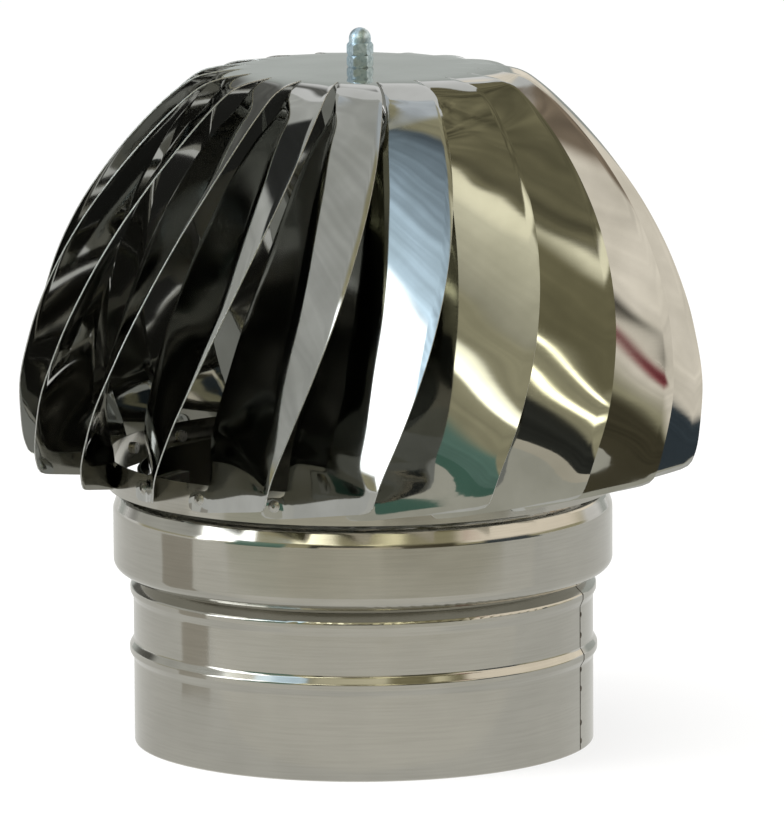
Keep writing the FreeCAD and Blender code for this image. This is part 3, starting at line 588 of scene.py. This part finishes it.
# Lamps: name; azimuth and height in degrees; power in watts; width in metres.
LAMPS = [("lamp_left", -70, 35, 60, 1.2), ("lamp_top", 20, 80, 30, 1.5)]
LAMP_DISTANCE = 2.5  # from the cowl's middle, in metres

FLOOR_RADIUS = 30.0  # in metres
FLOOR_GLOW = 0.75  # share of plain white in what the camera and the metal see of the floor
STREAK = 2.0  # height of a streak on a panel, in degrees, and the number of streaks side by side


def only_in_reflections(obj):
    """A stage piece that neither the camera nor shadows nor matt surfaces see."""
    obj.visible_camera = False
    obj.visible_diffuse = False
    obj.visible_shadow = False
    bpy.context.scene.collection.objects.link(obj)


def add_panel(name, azimuth, low, high, near, colour, dim, bright, soft, streaks, distance):
    """A curved glowing panel that fades out at its edges."""
    bm = bmesh.new()
    bmesh.ops.create_grid(bm, x_segments=16, y_segments=8, size=0.5)
    uv = bm.loops.layers.uv.new("panel")
    for face in bm.faces:
        for loop in face.loops:
            loop[uv].uv = (loop.vert.co.x + 0.5, loop.vert.co.y + 0.5)
    for v in bm.verts:
        x, y = v.co.x + 0.5, v.co.y + 0.5
        bottom = low[0] + (low[1] - low[0]) * x
        top = high[0] + (high[1] - high[0]) * x
        v.co = sky_point(azimuth[0] + (azimuth[1] - azimuth[0]) * x, bottom + (top - bottom) * y, distance * near)
    mesh = bpy.data.meshes.new(name)
    bm.to_mesh(mesh)
    bm.free()
    mat, t = new_material(name)
    place = add(t, "ShaderNodeUVMap", uv_map="panel").outputs[0]
    across = add(t, "ShaderNodeSeparateXYZ", {0: place})
    fades = []
    for axis in ("X", "Y"):
        inward = add(t, "ShaderNodeMath", {0: across.outputs[axis]}, operation="PINGPONG")
        inward.inputs[1].default_value = 0.5
        fades.append(add(
            t, "ShaderNodeMapRange", {"Value": inward.outputs[0]}, interpolation_type="SMOOTHSTEP", in_From_Max=soft
        ))
    cover = add(t, "ShaderNodeMath", {0: fades[0].outputs[0], 1: fades[1].outputs[0]}, operation="MULTIPLY")
    rise = add(t, "ShaderNodeMapRange", {"Value": across.outputs["Y"]}, in_To_Min=dim, in_To_Max=bright)
    level = add(t, "ShaderNodeMapping", {"Vector": place}, in_Scale=(STREAK, (high[0] - low[0]) / STREAK, 1.0))
    streak = add(t, "ShaderNodeTexNoise", {"Vector": level.outputs[0]}, in_Scale=1.0, in_Detail=3.0)
    # a streak takes more light away than it adds
    spread = add(
        t, "ShaderNodeMapRange", {"Value": streak.outputs["Fac"]},
        in_From_Min=0.3, in_From_Max=0.7, in_To_Min=1 - streaks * 0.6, in_To_Max=1 + streaks * 0.4,
    )
    power = add(t, "ShaderNodeMath", {0: rise.outputs[0], 1: spread.outputs[0]}, operation="MULTIPLY")
    clear = add(t, "ShaderNodeBsdfTransparent")
    glow = add(t, "ShaderNodeEmission", {"Strength": power.outputs[0]}, in_Color=srgb(colour))
    both = add(t, "ShaderNodeMixShader", {0: cover.outputs[0], 1: clear.outputs[0], 2: glow.outputs[0]})
    add(t, "ShaderNodeOutputMaterial", {"Surface": both.outputs[0]})
    mesh.materials.append(mat)
    only_in_reflections(bpy.data.objects.new(name, mesh))


def add_card(name, corners, colour, strength):
    """A flat glowing card."""
    bm = bmesh.new()
    spots = [sky_point(azimuth, 0, distance) + Vector((0, 0, height)) for azimuth, distance, height in corners]
    bmesh.ops.contextual_create(bm, geom=[bm.verts.new(spot) for spot in spots])
    mesh = bpy.data.meshes.new(name)
    bm.to_mesh(mesh)
    bm.free()
    mat, t = new_material(name)
    glow = add(t, "ShaderNodeEmission", in_Color=srgb(colour), in_Strength=strength)
    add(t, "ShaderNodeOutputMaterial", {"Surface": glow.outputs[0]})
    mesh.materials.append(mat)
    only_in_reflections(bpy.data.objects.new(name, mesh))


class COWL_OT_stage(Operator):
    """Sets out the floor, the world, the lamps, the studio panels and the camera"""

    bl_idname = "cowl.stage"
    bl_label = "Set the stage"

    def execute(self, context):
        s = context.scene.cowl_stage
        bm = bmesh.new()
        bmesh.ops.create_circle(bm, cap_ends=True, segments=96, radius=FLOOR_RADIUS)
        floor_mesh = bpy.data.meshes.new("floor")
        bm.to_mesh(floor_mesh)
        bm.free()
        floor = bpy.data.objects.new("floor", floor_mesh)
        context.scene.collection.objects.link(floor)
        mat, t = new_material("pale_studio_floor")
        sight = add(t, "ShaderNodeLightPath")
        seen = sight.outputs["Is Camera Ray"]
        for ray in ("Is Glossy Ray", "Is Transmission Ray"):
            seen = add(t, "ShaderNodeMath", {0: seen, 1: sight.outputs[ray]}, operation="MAXIMUM").outputs[0]
        share = add(t, "ShaderNodeMath", {0: seen}, operation="MULTIPLY")
        share.inputs[1].default_value = FLOOR_GLOW
        paint = add(t, "ShaderNodeBsdfDiffuse", in_Color=srgb("#F4F3F0"))
        glow = add(t, "ShaderNodeEmission", in_Color=grey(1.0), in_Strength=1.0)
        both = add(t, "ShaderNodeMixShader", {0: share.outputs[0], 1: paint.outputs[0], 2: glow.outputs[0]})
        add(t, "ShaderNodeOutputMaterial", {"Surface": both.outputs[0]})
        floor_mesh.materials.append(mat)

        world = bpy.data.worlds.new("studio")
        context.scene.world = world
        world.use_nodes = True
        w = world.node_tree
        w.nodes.clear()
        backdrop = add(w, "ShaderNodeBackground", in_Color=grey(1.0), in_Strength=1.0)
        add(w, "ShaderNodeOutputWorld", {"Surface": backdrop.outputs[0]})

        for panel in PANELS:
            add_panel(*panel, s.panel_distance)
        for card in CARDS:
            add_card(*card)

        for name, azimuth, height, power, size in LAMPS:
            light = bpy.data.lights.new(name, "AREA")
            light.energy = power
            light.size = size
            lamp = bpy.data.objects.new(name, light)
            lamp.location = sky_point(azimuth, height, LAMP_DISTANCE) + Vector((0, 0, s.middle))
            lamp.rotation_euler = (Vector((0, 0, s.middle)) - lamp.location).to_track_quat("-Z", "Y").to_euler()
            lamp.visible_glossy = False
            context.scene.collection.objects.link(lamp)

        data = bpy.data.cameras.new("camera")
        data.lens = s.lens
        data.sensor_width = 36.0
        data.clip_end = 100.0
        camera = bpy.data.objects.new("camera", data)
        back = Vector((0, -math.cos(s.rise), math.sin(s.rise)))
        up = Vector((0, math.sin(s.rise), math.cos(s.rise)))
        middle = Vector((0, 0, s.middle))
        camera.location = middle + back * s.distance
        aim = middle + Vector((s.aside, 0, 0)) - up * s.under
        camera.rotation_mode = "QUATERNION"
        look = (aim - camera.location).to_track_quat("-Z", "Y")
        camera.rotation_quaternion = look @ Quaternion((0, 0, 1), s.lean)
        context.scene.collection.objects.link(camera)
        context.scene.camera = camera
        context.scene.view_settings.view_transform = "Standard"
        return {"FINISHED"}


class COWL_PT_panel(Panel):
    """Buttons for each step"""

    bl_idname = "COWL_PT_panel"
    bl_label = "Rotating cowl"
    bl_space_type = "VIEW_3D"
    bl_region_type = "UI"
    bl_category = "Cowl"

    def draw(self, context):
        for group in ("cowl_colours", "cowl_hood", "cowl_seam", "cowl_stage"):
            settings = getattr(context.scene, group)
            for name in settings.__annotations__:
                self.layout.prop(settings, name)
        for step in STEPS:
            self.layout.operator(step)


STEPS = ("cowl.metals", "cowl.hood", "cowl.seam", "cowl.stage")
CLASSES = (
    CowlColours, CowlHood, CowlSeam, CowlStage, COWL_OT_metals, COWL_OT_hood, COWL_OT_seam, COWL_OT_stage,
    COWL_PT_panel,
)


def register():
    for c in CLASSES:
        bpy.utils.register_class(c)
    bpy.types.Scene.cowl_colours = PointerProperty(type=CowlColours)
    bpy.types.Scene.cowl_hood = PointerProperty(type=CowlHood)
    bpy.types.Scene.cowl_seam = PointerProperty(type=CowlSeam)
    bpy.types.Scene.cowl_stage = PointerProperty(type=CowlStage)


def unregister():
    del bpy.types.Scene.cowl_stage
    del bpy.types.Scene.cowl_seam
    del bpy.types.Scene.cowl_hood
    del bpy.types.Scene.cowl_colours
    for c in reversed(CLASSES):
        bpy.utils.unregister_class(c)


def main():
    register()
    for step in STEPS:
        group, name = step.split(".")
        getattr(getattr(bpy.ops, group), name)()


if __name__ == "__main__":
    main()
